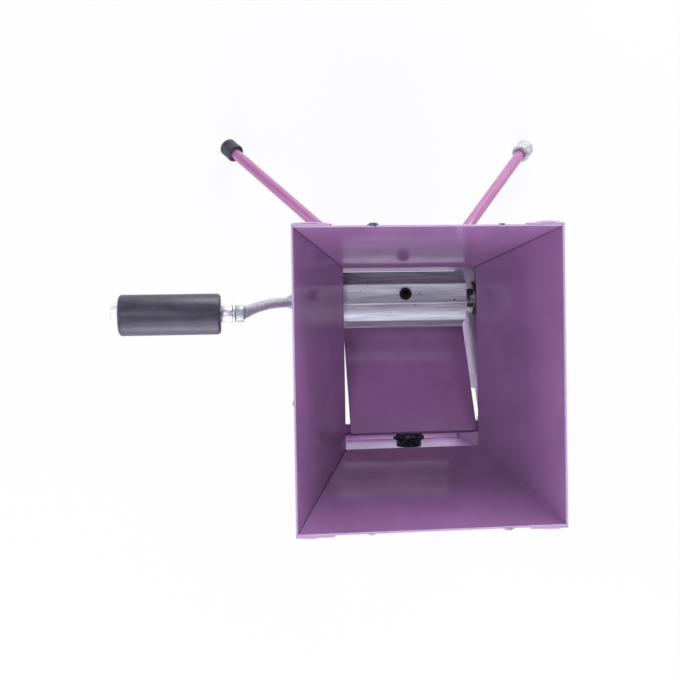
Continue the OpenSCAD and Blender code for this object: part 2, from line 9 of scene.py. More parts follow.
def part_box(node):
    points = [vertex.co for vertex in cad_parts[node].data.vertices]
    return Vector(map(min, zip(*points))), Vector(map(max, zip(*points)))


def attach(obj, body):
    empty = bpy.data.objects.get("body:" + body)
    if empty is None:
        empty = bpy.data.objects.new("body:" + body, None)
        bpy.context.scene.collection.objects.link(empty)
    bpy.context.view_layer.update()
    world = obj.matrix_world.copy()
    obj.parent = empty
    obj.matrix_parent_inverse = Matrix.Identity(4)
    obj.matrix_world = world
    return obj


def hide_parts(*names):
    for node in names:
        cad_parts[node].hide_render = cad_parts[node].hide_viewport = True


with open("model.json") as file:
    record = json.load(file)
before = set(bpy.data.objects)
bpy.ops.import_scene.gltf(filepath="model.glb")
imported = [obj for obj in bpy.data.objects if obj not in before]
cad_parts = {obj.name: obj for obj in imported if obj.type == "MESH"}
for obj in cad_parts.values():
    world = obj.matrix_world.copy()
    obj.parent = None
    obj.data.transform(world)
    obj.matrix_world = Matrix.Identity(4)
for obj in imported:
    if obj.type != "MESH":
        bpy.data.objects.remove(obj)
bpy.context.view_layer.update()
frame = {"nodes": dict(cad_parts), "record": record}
nodes = frame["nodes"]
mm = 0.001
xAxis, yAxis, zAxis = Vector((1, 0, 0)), Vector((0, 1, 0)), Vector((0, 0, 1))
print("frame loaded:", len(nodes), "nodes")


def linearColour(code):
    channels = []
    for i in (0, 2, 4):
        c = int(code[i:i + 2], 16) / 255
        channels.append(c / 12.92 if c <= 0.04045 else ((c + 0.055) / 1.055) ** 2.4)
    return (*channels, 1.0)


def addNode(tree, kind, inputs=(), **settings):
    made = tree.nodes.new(kind)
    for name, value in settings.items():
        setattr(made, name, value)
    for name, value in dict(inputs).items():
        if isinstance(value, bpy.types.NodeSocket):
            tree.links.new(value, made.inputs[name])
        else:
            made.inputs[name].default_value = value
    return made


def startMaterial(name, look):
    material = bpy.data.materials.new(name)
    material.use_nodes = True
    tree = material.node_tree
    shader = tree.nodes["Principled BSDF"]
    for socket, value in look.items():
        shader.inputs[socket].default_value = value
    place = addNode(tree, "ShaderNodeTexCoord").outputs["Object"]
    return material, tree, shader, place


def grain(tree, place, size, detail=3.0, stretch=(1, 1, 1)):
    # size is the width of one blotch in metres; stretch above 1 draws it out along that axis
    scale = tuple(1 / (size * s) for s in stretch)
    mapped = addNode(tree, "ShaderNodeMapping", {"Vector": place, "Scale": scale})
    return addNode(tree, "ShaderNodeTexNoise",
                   {"Vector": mapped.outputs[0], "Scale": 1.0, "Detail": detail}).outputs["Fac"]


def blended(tree, factor, under, over):
    return addNode(tree, "ShaderNodeMix", {"Factor": factor, 6: under, 7: over},
                   data_type="RGBA").outputs[2]


def between(tree, factor, low, high, start=0.35, stop=0.65):
    # turns a 0 to 1 pattern into numbers or colours between two ends
    ramp = addNode(tree, "ShaderNodeMapRange",
                   {"Value": factor, "From Min": start, "From Max": stop})
    if isinstance(low, tuple):
        return blended(tree, ramp.outputs[0], low, high)
    ramp.inputs["To Min"].default_value = low
    ramp.inputs["To Max"].default_value = high
    return ramp.outputs[0]


def bump(tree, shader, height, distance, strength=1.0):
    made = addNode(tree, "ShaderNodeBump",
                   {"Height": height, "Distance": distance, "Strength": strength})
    if shader.inputs["Normal"].is_linked:
        tree.links.new(shader.inputs["Normal"].links[0].from_socket, made.inputs["Normal"])
    tree.links.new(made.outputs[0], shader.inputs["Normal"])


def join(tree, socket, shader, name):
    tree.links.new(socket, shader.inputs[name])


def reopened(material):
    # what a later step needs to lay something over a finished material
    tree = material.node_tree
    shader = tree.nodes["Principled BSDF"]
    place = tree.nodes["Texture Coordinate"].outputs["Object"]
    return tree, shader, place, shader.inputs["Base Color"].links[0].from_socket


def raggedHeight(tree, place, blotch, reach):
    # height above the floor with an uneven edge: reach is how far it wanders, both in metres
    height = addNode(tree, "ShaderNodeSeparateXYZ", {0: place}).outputs["Z"]
    return addNode(tree, "ShaderNodeMath", {0: blotch, 1: reach, 2: height},
                   operation="MULTIPLY_ADD").outputs[0]


def risen(tree, value, start, stop, top=1.0):
    # 0 where the value is at start, top where it is at stop
    return addNode(tree, "ShaderNodeMapRange", {"Value": value, "From Min": start,
                                                "From Max": stop, "To Max": top}).outputs[0]


coat = {"mouthZ": 275.2, "mouthHighlightFull": 275.8, "lipZ": 81.2, "lipPaintedLightFull": 80.0,  # heights in mm
        "boxHalfX": 61.0, "boxMiddleY": 9.0, "boxHalfY": 78.5}  # halfway through the body's sheet


def purplePowderCoat(name="gloss purple powder coat", low="946C97", high="9E74A0", shift=0.0,
                     shine=0.65):
    # Polyester powder baked on steel: an even purple with a wet gloss, a faint orange peel
    # about 3 mm across, soft cloudy patches, fine rubbed marks and a painted highlight on the rim.
    material, tree, shader, place = startMaterial(
        name, {"Specular IOR Level": shine, "IOR": 1.58})
    clouds = grain(tree, place, 38 * mm, 2.0)
    base = between(tree, clouds, linearColour(low), linearColour(high))
    rubs = grain(tree, place, 1.6 * mm, 4.0, (1, 9, 1))
    rubbed = blended(tree, risen(tree, rubs, 0.70, 0.80, 0.25), base, linearColour("B58FBC"))
    # the top of the rim is painted near-white: a painted highlight where its edge catches the light
    height = raggedHeight(tree, place, grain(tree, place, 4 * mm, 3.0), 0.9 * mm)
    rim = risen(tree, height, coat["mouthZ"] * mm, coat["mouthHighlightFull"] * mm, 0.75)
    join(tree, blended(tree, rim, rubbed, linearColour("E2CBE4")), shader, "Base Color")
    haze = grain(tree, place, 9 * mm, 5.0)
    join(tree, between(tree, haze, 0.05 + shift, 0.10 + shift), shader, "Roughness")
    bump(tree, shader, grain(tree, place, 3 * mm, 1.0), 0.02 * mm, 0.3)
    return material


def rubbedPowderCoat():
    # The jaw's powder coat, polished and scratched down the slope by the nuts that slide on it.
    material = purplePowderCoat("rubbed purple powder coat", "A070A0", "A979AA", 0.08)
    tree, shader, place, base = reopened(material)
    scratches = grain(tree, place, 0.5 * mm, 2.0, (1, 60, 40))
    worn = risen(tree, scratches, 0.64, 0.74, 0.3)
    join(tree, blended(tree, worn, base, linearColour("A98BB0")), shader, "Base Color")
    return material


def insideBox(tree, place):
    # 1 on the faces inside the body, 0 on its outer faces
    axes = addNode(tree, "ShaderNodeSeparateXYZ", {0: place}).outputs
    across = addNode(tree, "ShaderNodeMath", {0: axes["X"], 1: 0.0, 2: coat["boxHalfX"] * mm},
                     operation="COMPARE")
    along = addNode(tree, "ShaderNodeMath", {0: axes["Y"], 1: coat["boxMiddleY"] * mm,
                                             2: coat["boxHalfY"] * mm}, operation="COMPARE")
    return addNode(tree, "ShaderNodeMath", {0: across.outputs[0], 1: along.outputs[0]},
                   operation="MULTIPLY").outputs[0]


def linedPowderCoat(name="powder coat on the body"):
    # The same powder on the body's sheet: glossy outside, dull inside the box, where less of it
    # lands, and painted darker there as painted shade. A lower shine keeps the upright walls deep
    # in colour.
    material = purplePowderCoat(name, shine=0.3)
    tree, shader, place, base = reopened(material)
    inside = insideBox(tree, place)
    # painted shade: the inside of the box gets a darker purple than the outside
    paintedShadeInside = between(tree, grain(tree, place, 30 * mm, 3.0), linearColour("7E5E84"),
                   linearColour("886690"))
    join(tree, blended(tree, inside, base, paintedShadeInside), shader, "Base Color")
    gloss = shader.inputs["Roughness"].links[0].from_socket
    soft = between(tree, grain(tree, place, 9 * mm, 5.0), 0.4, 0.5)
    rough = addNode(tree, "ShaderNodeMix", {"Factor": inside, 2: gloss, 3: soft})
    join(tree, rough.outputs[0], shader, "Roughness")
    return material


def litLipCoat():
    # The front wall's turned-in lower edge inside the box is painted near-white: painted light
    # standing in for light from below; the coat above it is whole.
    material = linedPowderCoat("powder coat with a lip painted light")
    tree, shader, place, base = reopened(material)
    # the mask below, named rubbed, marks where the lip is painted light
    height = raggedHeight(tree, place, grain(tree, place, 3 * mm, 4.0), 1.2 * mm)
    rubbed = risen(tree, height, coat["lipZ"] * mm, coat["lipPaintedLightFull"] * mm)
    within = addNode(tree, "ShaderNodeMath", {0: rubbed, 1: insideBox(tree, place)},
                     operation="MULTIPLY").outputs[0]
    join(tree, blended(tree, within, base, linearColour("F0DEF0")), shader, "Base Color")
    return material


def flutedAluminium():
    # Extruded aluminium bar, turned and left bare: pale dull silver with fine draw lines along
    # the bar, greyer smears, and dark pits where shells have bitten into it.
    material, tree, shader, place = startMaterial("drawn aluminium", {"Metallic": 0.5})
    draws = grain(tree, place, 0.45 * mm, 2.0, (90, 1, 1))
    smears = grain(tree, place, 2.2 * mm, 5.0, (14, 1, 1))
    silver = between(tree, smears, linearColour("AFB3BA"), linearColour("E2E6E6"), 0.32, 0.68)
    pits = addNode(tree, "ShaderNodeTexVoronoi", {"Vector": place, "Scale": 1 / (6 * mm),
                                                  "Randomness": 1.0})
    pitted = risen(tree, pits.outputs["Distance"], 0.17, 0.09)
    few = risen(tree, grain(tree, place, 11 * mm, 1.0), 0.49, 0.56)
    spots = addNode(tree, "ShaderNodeMath", {0: pitted, 1: few}, operation="MULTIPLY").outputs[0]
    join(tree, blended(tree, spots, silver, linearColour("2C2630")), shader, "Base Color")
    join(tree, between(tree, draws, 0.36, 0.5), shader, "Roughness")
    bump(tree, shader, draws, 0.02 * mm, 0.5)
    bump(tree, shader, spots, -0.2 * mm, 0.8)
    return material


def turnedSteel():
    # Bright mild steel bar: fine turning rings and a slight oily darkening.
    material, tree, shader, place = startMaterial("bright turned steel", {"Metallic": 1.0})
    rings = grain(tree, place, 0.3 * mm, 1.0, (1, 20, 20))
    oil = grain(tree, place, 6 * mm, 3.0)
    join(tree, between(tree, oil, linearColour("9D9DA3"), linearColour("B9B9BE")), shader,
         "Base Color")
    join(tree, between(tree, rings, 0.2, 0.34), shader, "Roughness")
    bump(tree, shader, rings, 0.01 * mm, 0.5)
    return material


def zincPlate():
    # Blue-passivated zinc on steel fasteners: bright, slightly bluish, with cloudy spangle.
    material, tree, shader, place = startMaterial("bright zinc plate", {"Metallic": 0.75})
    spangle = grain(tree, place, 2.2 * mm, 3.0)
    tint = between(tree, spangle, linearColour("D3D8E0"), linearColour("E6E3DF"))
    join(tree, tint, shader, "Base Color")
    join(tree, between(tree, spangle, 0.34, 0.46), shader, "Roughness")
    bump(tree, shader, grain(tree, place, 0.5 * mm, 2.0), 0.01 * mm, 0.5)
    return material


def crankZinc():
    # Hot-worked bar with thin old zinc: grey, mottled, scratched round and along, duller than
    # the fasteners, with brownish traces in the scratches.
    material, tree, shader, place = startMaterial("worn zinc on forged bar", {"Metallic": 0.6})
    mottle = grain(tree, place, 3 * mm, 5.0)
    tint = between(tree, mottle, linearColour("98A09E"), linearColour("C2CAC6"), 0.3, 0.7)
    scratches = grain(tree, place, 0.4 * mm, 3.0, (1, 14, 5))
    cut = risen(tree, scratches, 0.6, 0.72, 0.6)
    join(tree, blended(tree, cut, tint, linearColour("6A625F")), shader, "Base Color")
    join(tree, between(tree, mottle, 0.4, 0.58), shader, "Roughness")
    bump(tree, shader, scratches, -0.04 * mm, 0.6)
    bump(tree, shader, mottle, 0.06 * mm, 0.6)
    return material


def blackOxide():
    # Hardened set screw: oiled black oxide, half gloss, grey where a key has rubbed.
    material, tree, shader, place = startMaterial("black oxide steel", {"Metallic": 0.7})
    rub = grain(tree, place, 1.2 * mm, 4.0)
    join(tree, between(tree, rub, linearColour("17161A"), linearColour("35333A"), 0.5, 0.8),
         shader, "Base Color")
    join(tree, between(tree, rub, 0.3, 0.5), shader, "Roughness")
    bump(tree, shader, rub, 0.04 * mm, 0.5)
    return material


def gripPlastic():
    # Turned and polished black polyamide: dark grey-blue with long soft sheens and fine
    # turning lines round the grip, scuffed paler in the palm's place.
    material, tree, shader, place = startMaterial("turned black polyamide", {"IOR": 1.53})
    scuff = grain(tree, place, 5 * mm, 5.0, (3, 1, 1))
    join(tree, between(tree, scuff, linearColour("34323D"), linearColour("413F4B")), shader,
         "Base Color")
    rings = grain(tree, place, 0.6 * mm, 1.0, (1, 12, 12))
    join(tree, between(tree, rings, 0.36, 0.48), shader, "Roughness")
    bump(tree, shader, rings, 0.02 * mm, 0.5)
    return material


def mouldedPlastic():
    # Moulded black thermoset knob: fine leathery texture, half matt, dusty between its ribs.
    material, tree, shader, place = startMaterial("moulded black plastic", {"IOR": 1.5})
    dust = grain(tree, place, 2.5 * mm, 4.0)
    join(tree, between(tree, dust, linearColour("22242B"), linearColour("4A4D58"), 0.45, 0.75),
         shader, "Base Color")
    join(tree, between(tree, dust, 0.2, 0.34), shader, "Roughness")
    bump(tree, shader, grain(tree, place, 0.5 * mm, 2.0), 0.04 * mm, 0.5)
    return material


def bronze():
    # Oil-soaked sintered bronze: greyed and dull, with open pores.
    material, tree, shader, place = startMaterial("sintered bronze", {"Metallic": 1.0})
    pores = grain(tree, place, 0.5 * mm, 3.0)
    join(tree, between(tree, pores, linearColour("7C756B"), linearColour("A8A196")), shader,
         "Base Color")
    join(tree, between(tree, pores, 0.5, 0.4), shader, "Roughness")
    bump(tree, shader, pores, 0.05 * mm, 0.5)
    return material


def turnedBrass():
    # Free-cutting brass insert: yellow, with turning lines across its end face.
    material, tree, shader, place = startMaterial("turned brass", {"Metallic": 1.0})
    turns = grain(tree, place, 0.35 * mm, 1.0, (12, 1, 12))
    join(tree, between(tree, turns, linearColour("B08F48"), linearColour("CDB06A")), shader,
         "Base Color")
    join(tree, between(tree, turns, 0.24, 0.36), shader, "Roughness")
    bump(tree, shader, turns, 0.01 * mm, 0.5)
    return material


def footRubber(name, dark, pale, dustFrom):
    # Moulded PVC ferrule: matt black with a skin-like bloom, greyer where it has picked up dust.
    material, tree, shader, place = startMaterial(name, {"IOR": 1.5})
    bloom = grain(tree, place, 3.5 * mm, 4.0)
    join(tree, between(tree, bloom, linearColour(dark), linearColour(pale), dustFrom,
                       dustFrom + 0.25), shader, "Base Color")
    join(tree, between(tree, bloom, 0.45, 0.62), shader, "Roughness")
    bump(tree, shader, grain(tree, place, 0.6 * mm, 3.0), 0.06 * mm, 0.6)
    return material


def chippedPaint(name, dark, pale):
    # Broken coat at a knocked edge: crumbly primer and grey steel, rough and dull.
    material, tree, shader, place = startMaterial(name, {"Metallic": 0.2})
    crumbs = grain(tree, place, 1.1 * mm, 5.0)
    join(tree, between(tree, crumbs, linearColour(dark), linearColour(pale), 0.35, 0.6), shader,
         "Base Color")
    join(tree, between(tree, crumbs, 0.5, 0.8), shader, "Roughness")
    bump(tree, shader, crumbs, 0.2 * mm, 0.8)
    return material


paint = purplePowderCoat()
bodyPaint = linedPowderCoat()
litLipPaint = litLipCoat()
# the legs get a lighter, pinker copy of the paint: painted light for the stronger light on them
litLegPaint = purplePowderCoat("powder coat on rod painted lighter", "A46990", "AC7199")
rubbedPaint = rubbedPowderCoat()
aluminium = flutedAluminium()
steel = turnedSteel()
zinc = zincPlate()
barZinc = crankZinc()
blackSteel = blackOxide()
gripBlack = gripPlastic()
knobBlack = mouldedPlastic()
bushBronze = bronze()
brass = turnedBrass()
rubber = footRubber("black moulded rubber", "1E1D25", "454252", 0.42)
# the rear right cap is a paler grey copy of the rubber: partly dust, partly painted light for the
# brighter light on that side
dustyLitRubber = footRubber("dusty moulded rubber painted lit", "888E8C", "BCC2BE", 0.3)
primerChip = chippedPaint("chipped coat over steel", "2E3A40", "7E8A8E")
paleChip = chippedPaint("chipped coat over primer", "8D9076", "C9C7BE")
seamDark = chippedPaint("shadowed gap with thin coat", "2A1D31", "5A3F62")

finishes = {
    "purple_powder_coat": paint, "fluted_aluminium": aluminium, "bright_steel": steel,
    "zinc_plated_steel": zinc, "worn_zinc_crank": barZinc, "black_oxide_screws": blackSteel,
    "black_plastic_grip": gripBlack, "black_plastic_knob": knobBlack,
    "sintered_bronze": bushBronze, "brass_insert": brass, "black_rubber": rubber,
}
slotOf = {part["node"]: part["material_slot"] for part in frame["record"]["subparts"]}
for name, part in nodes.items():
    part.data.materials.clear()
    part.data.materials.append(finishes[slotOf[name]])
ownPaint = {"jaw_plate": rubbedPaint, "jaw_lever": rubbedPaint, "body_front_wall": litLipPaint,
            "body_rear_wall": bodyPaint, "body_left_side": bodyPaint,
            "body_right_side": bodyPaint, "rear_left_leg": litLegPaint, "rear_right_leg": litLegPaint,
            "front_left_leg": litLegPaint, "front_right_leg": litLegPaint}
for name, finish in ownPaint.items():
    nodes[name].data.materials[0] = finish
print("materials given to the packed nodes")


edges = {  # how far each piece's edges are softened: radius in mm, and how many cuts make it
    "hopper_front_panel": (0.35, 2), "hopper_rear_panel": (0.35, 2),
    "hopper_left_panel": (0.35, 2), "hopper_right_panel": (0.35, 2),
    "body_left_side": (0.4, 2), "body_right_side": (0.4, 2),
    "body_front_wall": (0.3, 2), "body_rear_wall": (0.3, 2),
    "jaw_plate": (0.6, 3), "jaw_lever": (0.6, 3), "jaw_hinge_tube": (0.4, 2),
    "left_bearing_boss": (0.6, 3), "right_bearing_boss": (0.6, 3),
    "left_bush": (0.25, 2), "right_bush": (0.25, 2),
    "shaft_collar": (0.5, 3),
    "grip_spacer": (0.3, 2), "grip_washer": (0.3, 2), "hinge_rod_washers": (0.3, 2),
    "crank_grip": (0.5, 3), "adjuster_knob": (0.3, 2), "leg_sockets": (0.5, 2),
    "left_jaw_spacer": (0.3, 2), "right_jaw_spacer": (0.3, 2),
    "crank_set_screw": (0.2, 2), "collar_set_screw": (0.2, 2), "roller_set_screw": (0.3, 2),
}
sharpest = math.radians(38)  # edges blunter than this stay as they are
for name, (radius, cuts) in edges.items():
    part = nodes[name]
    weld = part.modifiers.new("weld", "WELD")
    weld.merge_threshold = 0.004 * mm
    bevel = part.modifiers.new("soft edge", "BEVEL")
    bevel.width = radius * mm
    bevel.segments = cuts
    bevel.limit_method = "ANGLE"
    bevel.angle_limit = sharpest
    bevel.use_clamp_overlap = True
    bevel.harden_normals = True
print("edges softened")


def addMesh(name, verts, faces, material, body):
    mesh = bpy.data.meshes.new(name)
    mesh.from_pydata([tuple(v) for v in verts], [], faces)
    tool = bmesh.new()
    tool.from_mesh(mesh)
    bmesh.ops.recalc_face_normals(tool, faces=tool.faces)
    tool.to_mesh(mesh)
    tool.free()
    mesh.materials.append(material)
    mesh.polygons.foreach_set("use_smooth", [True] * len(mesh.polygons))
    made = bpy.data.objects.new(name, mesh)
    bpy.context.scene.collection.objects.link(made)
    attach(made, body)
    return made


def skin(rings, closed, capped=True):
    # rings of equal length become a tube; closed joins the last ring to the first
    count = len(rings[0])
    verts = [p for ring in rings for p in ring]
    faces = []
    last = len(rings) if closed else len(rings) - 1
    for i in range(last):
        a, b = i * count, (i + 1) % len(rings) * count
        for k in range(count):
            n = (k + 1) % count
            faces.append((a + k, a + n, b + n, b + k))
    if capped and not closed:
        faces.append(tuple(range(count)))
        faces.append(tuple(range(len(verts) - count, len(verts))))
    return verts, faces


def merge(parts):
    verts, faces = [], []
    for partVerts, partFaces in parts:
        start = len(verts)
        verts += partVerts
        faces += [tuple(start + i for i in face) for face in partFaces]
    return verts, faces


def squareTo(axis):
    # two directions across an axis
    side = axis.cross(zAxis if abs(axis.z) < 0.9 else xAxis).normalized()
    return side, axis.cross(side).normalized()


def circle(centre, axis, radius, steps):
    side, up = squareTo(axis)
    return [centre + (side * math.cos(a) + up * math.sin(a)) * radius
            for a in (2 * math.pi * k / steps for k in range(steps))]


def lathe(profile, origin, axis, steps=48):
    # profile holds (distance along the axis, radius) pairs
    return [circle(origin + axis * s, axis, max(r, 1e-6), steps) for s, r in profile]


def sweep(points, radii, steps=12, closed=False):
    rings = []
    side = None
    for i, p in enumerate(points):
        before = points[i - 1] if closed or i else p
        after = points[(i + 1) % len(points)] if closed or i < len(points) - 1 else p
        along = (after - before).normalized()
        side = squareTo(along)[0] if side is None else (side - along * side.dot(along)).normalized()
        up = along.cross(side)
        rings.append([p + (side * math.cos(2 * math.pi * k / steps) +
                           up * math.sin(2 * math.pi * k / steps)) * radii[i]
                      for k in range(steps)])
    return rings


def sharpen(piece, degrees):
    # edges steeper than this stay crisp, the rest is shaded smooth
    tool = bmesh.new()
    tool.from_mesh(piece.data)
    for edge in tool.edges:
        if len(edge.link_faces) == 2:
            edge.smooth = edge.calc_face_angle(0.0) < math.radians(degrees)
    tool.to_mesh(piece.data)
    tool.free()
    return piece


hexagon = {"chamfer": math.radians(30), "faceShare": 0.96, "sinkShare": 1.1, "steps": 72}


def hexSolid(origin, axis, across, height, bore=0.0, lowChamfer=True, turn=0.0):
    # hexagon head or nut whose corners are turned off to a cone
    flat = across / 2
    corner, face = flat / math.cos(math.pi / 6), flat * hexagon["faceShare"]
    rise = (corner - face) * math.tan(hexagon["chamfer"])
    levels = [0.0] + [rise * k / 4 for k in range(1, 5)] if lowChamfer else [0.0]
    levels += [height - rise * k / 4 for k in range(4, -1, -1)]
    side, up = squareTo(axis)
    angles = [2 * math.pi * k / hexagon["steps"] + turn for k in range(hexagon["steps"])]
    rings = []
    for z in levels:
        ends = min(height - z, z if lowChamfer else height)
        ring = []
        for a in angles:
            within = (a - turn) % (math.pi / 3) - math.pi / 6
            r = min(flat / math.cos(within), face + ends / math.tan(hexagon["chamfer"]))
            ring.append(origin + axis * z + (side * math.cos(a) + up * math.sin(a)) * r)
        rings.append(ring)
    if not bore:
        return skin(rings, False)
    sink = bore * hexagon["sinkShare"]
    for z, r in ((height, sink), (height - (sink - bore), bore), (sink - bore, bore),
                 (0.0, sink)):
        rings.append([origin + axis * z + (side * math.cos(a) + up * math.sin(a)) * r
                      for a in angles])
    return skin(rings, True)


def threadedRod(origin, axis, radius, length, pitch):
    # rolled thread: crests at radius, rounded roots under it, ends run out to a chamfer
    side, up = squareTo(axis)
    steps, ringsPerTurn, depth = 40, 8, pitch * 0.55
    rings = []
    count = int(length / pitch * ringsPerTurn)
    for i in range(count + 1):
        s = length * i / count
        ring = []
        for k in range(steps):
            a = 2 * math.pi * k / steps
            wave = abs((s / pitch - k / steps) % 1.0 - 0.5) * 2
            r = radius - depth * (1 - wave) ** 1.2
            r = min(r, radius - depth + max(0.0, length - s) * 0.9)
            ring.append(origin + axis * s + (side * math.cos(a) + up * math.sin(a)) * r)
        rings.append(ring)
    return skin(rings, False)


bead = {"step": 0.45, "ripple": 1.7,  # mm
        "swell": 0.13, "crest": 0.10, "wander": 0.16, "end": 0.35, "taper": 0.14,
        "lumps": 260, "turns": 190}  # per metre


def weldPath(points, closed=False):
    # evenly spaced points along a line, for the ripples of a bead
    loop = points + points[:1] if closed else points
    out = []
    for a, b in zip(loop, loop[1:]):
        count = max(1, round((b - a).length / (bead["step"] * mm)))
        out += [a.lerp(b, k / count) for k in range(count)]
    return out if closed else out + [loop[-1]]


def weldBead(points, radius, closed=False, ripple=bead["ripple"] * mm):
    path = weldPath(points, closed)
    radii, centres = [], []
    for i, p in enumerate(path):
        fill = ((i * bead["step"] * mm) % ripple) / ripple
        swell = (1 + bead["swell"] * noise.noise(p * bead["lumps"]) +
                 bead["crest"] * (1 - fill) ** 2)
        toEnd = min(i, len(path) - 1 - i)
        ends = 1.0 if closed else min(1.0, bead["end"] + toEnd * bead["taper"])
        radii.append(radius * swell * ends)
        q = p * bead["turns"]
        centres.append(p + Vector((noise.noise(q), noise.noise(q + xAxis),
                                   noise.noise(q + yAxis))) * radius * bead["wander"])
    return skin(sweep(centres, radii, 10, closed), closed)


def middleOf(name):
    low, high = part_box(name)
    return (low + high) / 2


lines = {  # where the machine's main lines run, in millimetres
    "throatZ": 184.0, "rimZ": 275.6, "throatX": 55.0, "throatFront": -62.5, "throatRear": 85.5,
    "mouthX": 100.0, "mouthY": 111.0, "sheet": 1.2, "bodyX": 62.0, "bodyFront": -70.5,
    "bodyRear": 88.5, "legRoot": (32.5, 142.6), "rearFoot": (154.0, 218.0),
    "frontFoot": (70.0, -151.0),
}
shaftAt, gripAt, adjusterAt = map(middleOf, ("roller_shaft", "grip_washer", "knob_insert"))


welds = {"seamRadius": 1.45, "stitch": 26.0, "out": 1.1, "bossRadius": 1.7, "socketRadius": 1.5,
         "alongSide": (-42, 10, 62), "alongWall": (-17, 17), "bossRing": 16.5, "socketRing": 8.2,
         "hairRadius": 0.42, "hairRipple": 9.0, "cornerRadius": 0.55, "cornerRipple": 4.5,
         "cornerShare": 0.86}
jaw = {"slope": math.radians(30.59), "weldRadius": 1.3, "stitches": (-44, -6, 30), "stitch": 20,
       "notch": 3.4, "sunk": 0.9}


def seamHeight(wall):
    # height at which a body wall's outer face meets the hopper's outer face
    rise = lines["rimZ"] - lines["throatZ"]
    near, far, out = {"side": (lines["throatX"], lines["mouthX"], lines["bodyX"]),
                      "front": (-lines["throatFront"], lines["mouthY"], -lines["bodyFront"]),
                      "rear": (lines["throatRear"], lines["mouthY"], lines["bodyRear"])}[wall]
    lean = math.atan((far - near) / rise)
    return lines["throatZ"] + (out - near - lines["sheet"] / math.cos(lean)) / math.tan(lean)


def hopperSeams():
    parts = []
    half = welds["stitch"] / 2
    for side in (-1, 1):
        z = seamHeight("side")
        for y in welds["alongSide"]:
            x = side * (lines["bodyX"] + welds["out"])
            parts.append(weldBead([Vector((x, y - half, z)) * mm, Vector((x, y + half, z)) * mm],
                                  welds["seamRadius"] * mm))
    for wall, y in (("front", lines["bodyFront"] - welds["out"]),
                    ("rear", lines["bodyRear"] + welds["out"])):
        z = seamHeight(wall)
        for x in welds["alongWall"]:
            parts.append(weldBead([Vector((x - half, y, z)) * mm, Vector((x + half, y, z)) * mm],
                                  welds["seamRadius"] * mm))
    addMesh("hopper_weld_stitches", *merge(parts), paint, "frame")


def bossSeams():
    parts = []
    for side in (-1, 1):
        ring = circle(Vector((side * (lines["bodyX"] + 0.4) * mm, shaftAt.y, shaftAt.z)), xAxis,
                      welds["bossRing"] * mm, 40)
        parts.append(weldBead(ring, welds["bossRadius"] * mm, True))
    addMesh("boss_weld_rings", *merge(parts), paint, "frame")


def legAxis(front, side):
    root = Vector((side * lines["legRoot"][0],
                   lines["bodyFront"] if front else lines["bodyRear"], lines["legRoot"][1]))
    x, y = lines["frontFoot" if front else "rearFoot"]
    floor = Vector((side * x, y, 0))
    return root * mm, floor * mm, (root - floor).normalized()


def socketSeams():
    parts = []
    for front in (True, False):
        for side in (-1, 1):
            root, _, up = legAxis(front, side)
            ring = []
            for p in circle(root, up, welds["socketRing"] * mm, 36):
                # slides each point along the leg until it lies on the wall
                ring.append(p + up * ((root.y - p.y) / up.y))
            parts.append(weldBead(ring, welds["socketRadius"] * mm, True))
    addMesh("socket_weld_rings", *merge(parts), paint, "frame")


def jawSeams():
    # stitches in the two notches between hinge tube and plate, and along the lever's root
    parts = []
    low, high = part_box("jaw_hinge_tube")
    mid, radius = (low + high) / 2, (high.z - low.z) / 2
    downhill = Vector((0, math.cos(jaw["slope"]), -math.sin(jaw["slope"])))
    upright = xAxis.cross(downhill)
    for along in (-1, 1):
        at = mid + upright * (radius - jaw["sunk"] * mm) + downhill * along * jaw["notch"] * mm
        for x in jaw["stitches"]:
            parts.append(weldBead([Vector((x * mm, at.y, at.z)),
                                   Vector(((x + jaw["stitch"]) * mm, at.y, at.z))],
                                  jaw["weldRadius"] * mm))
    leverLow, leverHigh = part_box("jaw_lever")
    for y in (leverLow.y - 0.4 * mm, leverHigh.y + 0.4 * mm):
        drop = math.sqrt(radius ** 2 - min(radius, abs(y - mid.y)) ** 2) + 0.3 * mm
        parts.append(weldBead([Vector((leverLow.x + 2 * mm, y, mid.z - drop)),
                               Vector((leverHigh.x - 2 * mm, y, mid.z - drop))],
                              jaw["weldRadius"] * mm))
    addMesh("jaw_weld_stitches", *merge(parts), rubbedPaint, "jaw")


def cornerSeams():
    # hairline gaps where the hopper's sheets meet; the front right one is closed by a weld
    hairs, welded = [], []
    for side in (-1, 1):
        for y0, y1 in ((lines["throatFront"], -lines["mouthY"]),
                       (lines["throatRear"], lines["mouthY"])):
            low = Vector((side * (lines["throatX"] - 0.1), y0 * 0.999, lines["throatZ"] + 0.2)) * mm
            high = Vector((side * (lines["mouthX"] - 0.1), y1 * 0.999, lines["rimZ"] - 0.4)) * mm
            if side > 0 and y0 < 0:
                welded.append(weldBead([low, low.lerp(high, welds["cornerShare"])],
                                       welds["cornerRadius"] * mm,
                                       ripple=welds["cornerRipple"] * mm))
            else:
                hairs.append(weldBead([low, high], welds["hairRadius"] * mm,
                                      ripple=welds["hairRipple"] * mm))
    addMesh("hopper_corner_gaps", *merge(hairs), seamDark, "frame")
    addMesh("hopper_corner_weld", *merge(welded), paint, "frame")


hopperSeams()
cornerSeams()
bossSeams()
socketSeams()
jawSeams()
print("weld seams laid")


# the corner flanges stand proud of the sheets near the rim
lip = {"proud": 1.5, "depth": 34.0, "root": 1.6, "narrowing": 0.44, "over": 0.6,
       "gap": 0.05, "flatness": 0.7, "fade": 1.6,
       "widths": {("rear", -1): 28, ("rear", 1): 23, ("front", -1): 20, ("front", 1): 23}}


